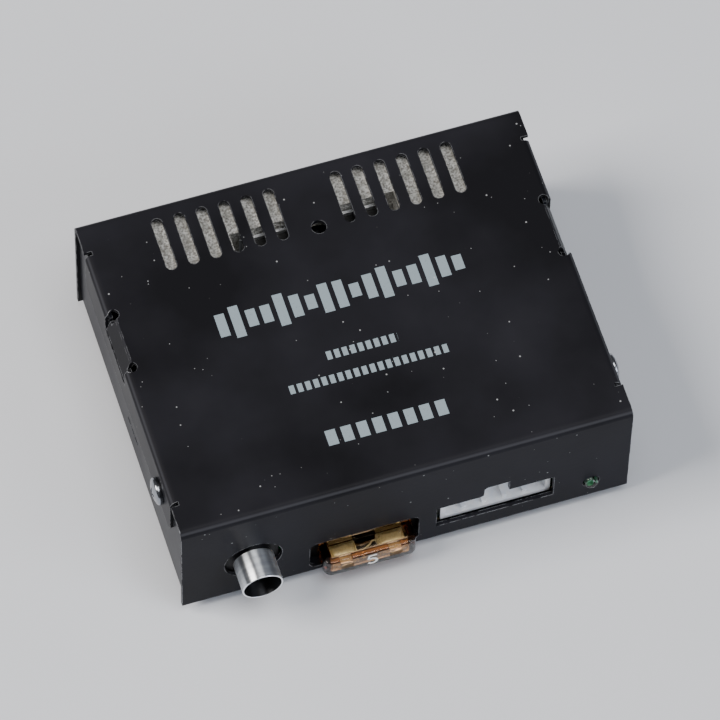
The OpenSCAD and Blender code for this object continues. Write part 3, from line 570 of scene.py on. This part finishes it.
def fuse_pieces():
    """A blade fuse that lies on its side: a clear shell with two probe slots, two blades with
    raised shoulders and rims, the thin link between them, and the rating's numeral."""
    low, high = corners("fuse_body")
    end = Vector(((low.x + high.x) / 2, low.y, (low.z + high.z) / 2))
    half_w, half_t = (high.x - low.x) / 2 / MM, (high.z - low.z) / 2 / MM

    def upright(a, b):
        return abs(a.z - b.z) > 3 and a.y < 1

    def face_rim(a, b):
        return abs(a.z - b.z) < 0.01 and min(a.y, b.y) < HEAD - 0.01

    shell = centred(0, half_w, 0, HEAD, half_t, steps=5, edges=((1.7, upright), (0.45, face_rim)))
    waist = centred(0, WAIST_HALF[0], HEAD - 1, WAIST, WAIST_HALF[1], radius=0.35)
    shell = combined(shell, waist, "UNION")
    cuts = [centred(0, HEAD_ROOM[0], 1.5, HEAD - 0.6, HEAD_ROOM[1], radius=0.3),
            centred(0, WAIST_ROOM[0], HEAD - 1, WAIST - 1, WAIST_ROOM[1], radius=0.3)]
    for middle in (-BLADE_X, BLADE_X):
        # A probe slot in the end over each blade, and the blade's own slot at the other end
        cuts.append(centred(middle, PROBE_HALF[0], -1, 2.5, PROBE_HALF[1], radius=0.15))
        cuts.append(centred(middle, 2.65, WAIST - 2, WAIST + 1, 0.38))
    for cut in cuts:
        shell = combined(shell, cut, "DIFFERENCE")
    finish_piece("fuse_housing", placed(shell, end), FINISHES["fuse_plastic"], "fuse",
                 ["fuse_body"])

    tip = (corners("fuse_element")[1].y - low.y) / MM

    def tip_side(a, b):
        return abs(a.z - b.z) > 0.3 and a.y > tip - 0.1

    def tip_rim(a, b):
        return min(a.y, b.y) > tip - 1.2 and abs(a.z - b.z) < 0.01

    metal = []
    for middle, rims in ((-BLADE_X, (-2.6, 2.5)), (BLADE_X, (-2.9, -2.3))):
        metal.append(centred(middle, BLADE_W / 2, 1.7, tip, BLADE_T / 2,
                             steps=2, edges=((0.9, tip_side), (0.12, tip_rim))))
        metal.append(centred(middle, SHOULDER_HALF[0], 1.6, 4.4, SHOULDER_HALF[1],
                             radius=0.7, steps=5))
        metal += [block((middle + x - RIM_W / 2, 1.65, -1.05),
                        (middle + x + RIM_W / 2, 4.5, 1.1), 0.11, 2) for x in rims]
    # The link that melts: a thin strip in a gentle S from blade to blade
    rise = [(BLADE_X - 2.2, 3.6)] + arc((1.4, 2.9), 0.7, 30, 170, 8)
    fall = [(-x, 5.2 - y) for x, y in reversed(rise)]
    link = strokes([rise + fall], 0.28, 0.22)
    # It is drawn upright, and lies down so that its height runs into the fuse
    link.transform(Matrix.Translation((0, 0, 0.3)) @ Matrix.Rotation(math.radians(-90), 4, "X"))
    metal.append(link)
    finish_piece("fuse_blades", placed(joined(metal), end), FINISHES["fuse_metal"], "fuse",
                 ["fuse_element"])

    five = [[(0.95, 1.55), (-0.62, 1.55), (-0.78, 0.18)],
            [(-0.8, 0.22), (0.1, 0.36)] + arc((0.02, -0.62), 0.92, 70, -150, 14)]
    # The ink stands 0.005 mm proud of the end, so that it isn't hidden in it
    numeral = placed(strokes(five, 0.5, 0.03), end + Vector((0.1, -0.005, 0)) * MM)
    finish_piece("fuse_rating", numeral, FINISHES["white_ink"], "fuse")


# ---------------------------------------------------------------- screws and lamp


# A side screw in mm: the head stands on Z = 0 and its shank points down
SCREW_R, SCREW_H = 2.8, 1.75      # the pan head's radius and height
RIM_R, RIM_Z = 0.55, 0.42 * SCREW_H    # the radius of its rounded rim, and where the rim starts
CROSS_W, CROSS_DEEP = 0.68, 1.15  # how wide and how deep the recess's wings are
CROSS_REACH = 0.62 * SCREW_R
SHANK = ((0, -5), (1.0, -5), (1.25, -4.6), (1.25, 0))


def cross_head(turn):
    """A pan head in mm on Z, with a tapered cross recess that is turned by so many degrees."""
    dome = [(0, -0.2), (SCREW_R - 0.15, -0.2), (SCREW_R - 0.05, 0.0), (SCREW_R, 0.12),
            (SCREW_R, RIM_Z)]
    dome += arc((SCREW_R - RIM_R, RIM_Z), RIM_R, 0, 62, 6)
    crown_r, crown_z = dome[-1]
    for k in range(1, 7):
        share = 1 - k / 6
        dome.append((crown_r * share, SCREW_H - (SCREW_H - crown_z) * share ** 2))
    head = lathe(dome, Matrix.Scale(1 / MM, 4), 48)      # scaled back to mm, for the cuts
    for quarter in (0, 90):
        wing = block((-CROSS_REACH, -CROSS_W / 2, SCREW_H - CROSS_DEEP),
                     (CROSS_REACH, CROSS_W / 2, SCREW_H + 1))
        for corner in wing.vertices:
            if corner.co.z < SCREW_H:
                corner.co.x *= 0.45
                corner.co.y *= 0.7
        wing.transform(Matrix.Rotation(math.radians(quarter + turn), 4, "Z"))
        head = combined(head, wing, "DIFFERENCE")
    return head


def side_screws():
    """The two screws in the cover's flanges, each with its cross at its own angle."""
    low, high = corners("side_screws")
    middle = (low + high) / 2
    pieces = []
    for side, turn in ((-1, 20), (1, 65)):
        seat = (side * HALF_W, middle.y, middle.z)
        head = cross_head(turn)
        spin = Matrix.Rotation(math.radians(90 * side), 4, "Y")
        head.transform(Matrix.Translation(seat) @ Matrix.Scale(MM, 4) @ spin)
        pieces += [head, lathe(SHANK, facing((side, 0, 0), seat), 32)]
    finish_piece("side_screw_heads", joined(pieces), FINISHES["zinc_screw"], "amplifier",
                 ["side_screws"])


def lamp_insides():
    """The post and the cup that stand inside the lens."""
    low, high = corners("lamp_lens")
    axis = Vector(((low.x + high.x) / 2, low.y, (low.z + high.z) / 2))
    cup = [(0, 0), (0.62, 0), (0.62, 2.2), (0.55, 2.3), (0.3, 1.95), (0, 1.95)]
    to_front = facing((0, -1, 0), axis + Vector((-0.25, 3.4, 0)) * MM)
    post = block((0.55, 1.0, -0.3), (0.95, 4.0, 0.3), 0.08)
    finish_piece("lamp_cup", joined([lathe(cup, to_front, 24), placed(post, axis)]),
                 FINISHES["tinned_wire"], "amplifier")


def soften(names, width_mm):
    """Rounds the sharp edges of cut sheet and moulded pieces a little."""
    for name in names:
        step = NODES[name].modifiers.new("edge", "BEVEL")
        step.width = width_mm * MM
        step.segments = 2
        step.limit_method = "ANGLE"
        step.angle_limit = math.radians(50)


# ---------------------------------------------------------------- camera, light and stage


AIM = Vector((1.56, 2.22, 16)) * MM    # what the camera looks at
DISTANCE = 1.4226                 # how far away it stands, m
LENS, SENSOR = 359.9, 36          # its focal length and the width of its sensor, mm
AZIMUTH, ELEVATION, ROLL = (math.radians(a) for a in (-19.22, 61.08, 1.83))
FLOOR_REACH = 3.0                 # how far the floor runs to each side, m
ROOM_LIGHT = 0.16
# (name, place in m, size in m, power in W, colour)
LIGHTS = (
    ("key", (-1.0, 0.1, 1.1), 0.7, 27, "fffaf4"),
    ("top", (0.1, -0.35, 1.5), 0.8, 12, "ffffff"),
    ("fill", (0.75, -0.95, 0.6), 0.8, 9, "eef4ff"),
)


def camera():
    """Looks down on the front and the left side through a long lens."""
    back = Vector((math.sin(AZIMUTH) * math.cos(ELEVATION),
                   -math.cos(AZIMUTH) * math.cos(ELEVATION), math.sin(ELEVATION)))
    right = Vector((math.cos(AZIMUTH), math.sin(AZIMUTH), 0))
    up = back.cross(right)
    rolled_right = math.cos(ROLL) * right + math.sin(ROLL) * up
    rolled_up = math.cos(ROLL) * up - math.sin(ROLL) * right
    data = bpy.data.cameras.new("camera")
    data.lens = LENS
    data.sensor_width = SENSOR
    data.clip_start, data.clip_end = 0.05, 20
    eye = bpy.data.objects.new("camera", data)
    bpy.context.scene.collection.objects.link(eye)
    turn = Matrix((rolled_right, rolled_up, back)).transposed().to_4x4()
    eye.matrix_world = Matrix.Translation(AIM + back * DISTANCE) @ turn
    bpy.context.scene.camera = eye


def soft_light(name, place, size, power, tint):
    """A square soft box that faces the object."""
    data = bpy.data.lights.new(name, "AREA")
    data.shape = "SQUARE"
    data.size = size
    data.energy = power
    data.color = colour(tint)[:3]
    lamp = bpy.data.objects.new(name, data)
    bpy.context.scene.collection.objects.link(lamp)
    lamp.location = place
    lamp.rotation_euler = (Vector(place) - CASE_MID).to_track_quat("Z", "Y").to_euler()


def stage():
    """A wide plain floor, a dim even room and three soft boxes."""
    mesh = bpy.data.meshes.new("floor")
    places = [(x * FLOOR_REACH, y * FLOOR_REACH, 0) for x, y in ((-1, -1), (1, -1), (1, 1), (-1, 1))]
    mesh.from_pydata(places, [], [(0, 1, 2, 3)])
    mesh.materials.append(pale_floor())
    floor = bpy.data.objects.new("floor", mesh)
    bpy.context.scene.collection.objects.link(floor)
    world = bpy.data.worlds.new("studio")
    bpy.context.scene.world = world
    world.use_nodes = True
    room = world.node_tree.nodes["Background"].inputs
    room["Color"].default_value = colour("e9edf3")
    room["Strength"].default_value = ROOM_LIGHT
    for light in LIGHTS:
        soft_light(*light)


# ---------------------------------------------------------------- main

camera()
stage()

FINISHES = {
    "cover_paint": baked_paint("cover_paint", "17171a", 0.04, PRINT_ROWS),
    # The chassis paint's faint blue tint is a painted reflection of the light at the left; the sheet
    # has the same black paint as the cover
    "chassis_paint": baked_paint("chassis_paint", "1b1d23", 0.07),
    "rubber": moulded("foot_rubber", "161617", 0.7, 0.25, 0.02),
    "zinc_screw": plated("zinc_plate", "94979d", 0.16, 0.7),
    # The clamp screw's near-black colour is painted shade, for it lies deep under the access hole in
    # the top
    "black_screw": plated("screw_painted_shade", "26262a", 0.35, 0.5, "3a3a3e"),
    "white_ink": moulded("white_ink", "f4f4f2", 0.5, 0.3, 0.004, "dededc"),
    "spring_steel": plated("spring_steel", "d3d6da", 0.2, 0.3),
    "tinned_wire": plated("tinned_wire", "f0f2f4", 0.4, 0.2),
    "circuit_board": circuit_board(),
    "fish_paper": fish_paper(),
    "cast_aluminium": cast_aluminium(),
    "can_aluminium": plated("drawn_aluminium", "d2d4d7", 0.28, 0.3),
    "silicone_pad": moulded("silicone_pad", "bcc0c6", 0.6, 0.3, 0.01, "aeb2b8"),
    "epoxy": moulded("epoxy_compound", "151516", 0.55, 0.2, 0.015, "2b2b2d"),
    "black_plastic": moulded("black_abs", "0f0f10", 0.42, 0.3, 0.01, "232326", 0.15),
    "nickel_plate": turned_nickel(),
    "brass_contact": plated("brass", "d6bd84", 0.2, 0.4, "b59a5e"),
    "fuse_plastic": clear_plastic("amber_polysulfone", "dfb85c", 760, 1.5, 0.03),
    "fuse_metal": stamped_zinc(),
    "white_nylon": natural_nylon(),
    "lamp_plastic": clear_plastic("green_epoxy", "45c090", 1300, 1.5, 0.06),
    "sleeve_plastic": moulded("shrunk_sleeve", "14181f", 0.25, 0.6, 0.004),
    "iron_powder": moulded("iron_powder", "c9b03c", 0.6, 0.3, 0.02, "b59c30"),
    "ferrite": moulded("ferrite", "35353a", 0.5, 0.3, 0.015),
    "magnet_wire": plated("enamelled_copper", "b8713d", 0.25, 0.5, "9a5526"),
    "film_coating": moulded("dipped_coating", "8c2b20", 0.3, 0.7, 0.01, "7a2219"),
    "resistor_coating": moulded("resistor_lacquer", "c8a87a", 0.4, 0.3, 0.008, "b8966a"),
}
SLOTS = {part["node"]: part["material_slot"] for part in frame["record"]["subparts"]}
for node, cad_piece in NODES.items():
    cad_piece.data.materials.clear()
    cad_piece.data.materials.append(FINISHES[SLOTS[node]])
soften(["top_cover", "chassis"], 0.08)
soften(["header_housing"], 0.12)
fuse_pieces()
side_screws()
lamp_insides()
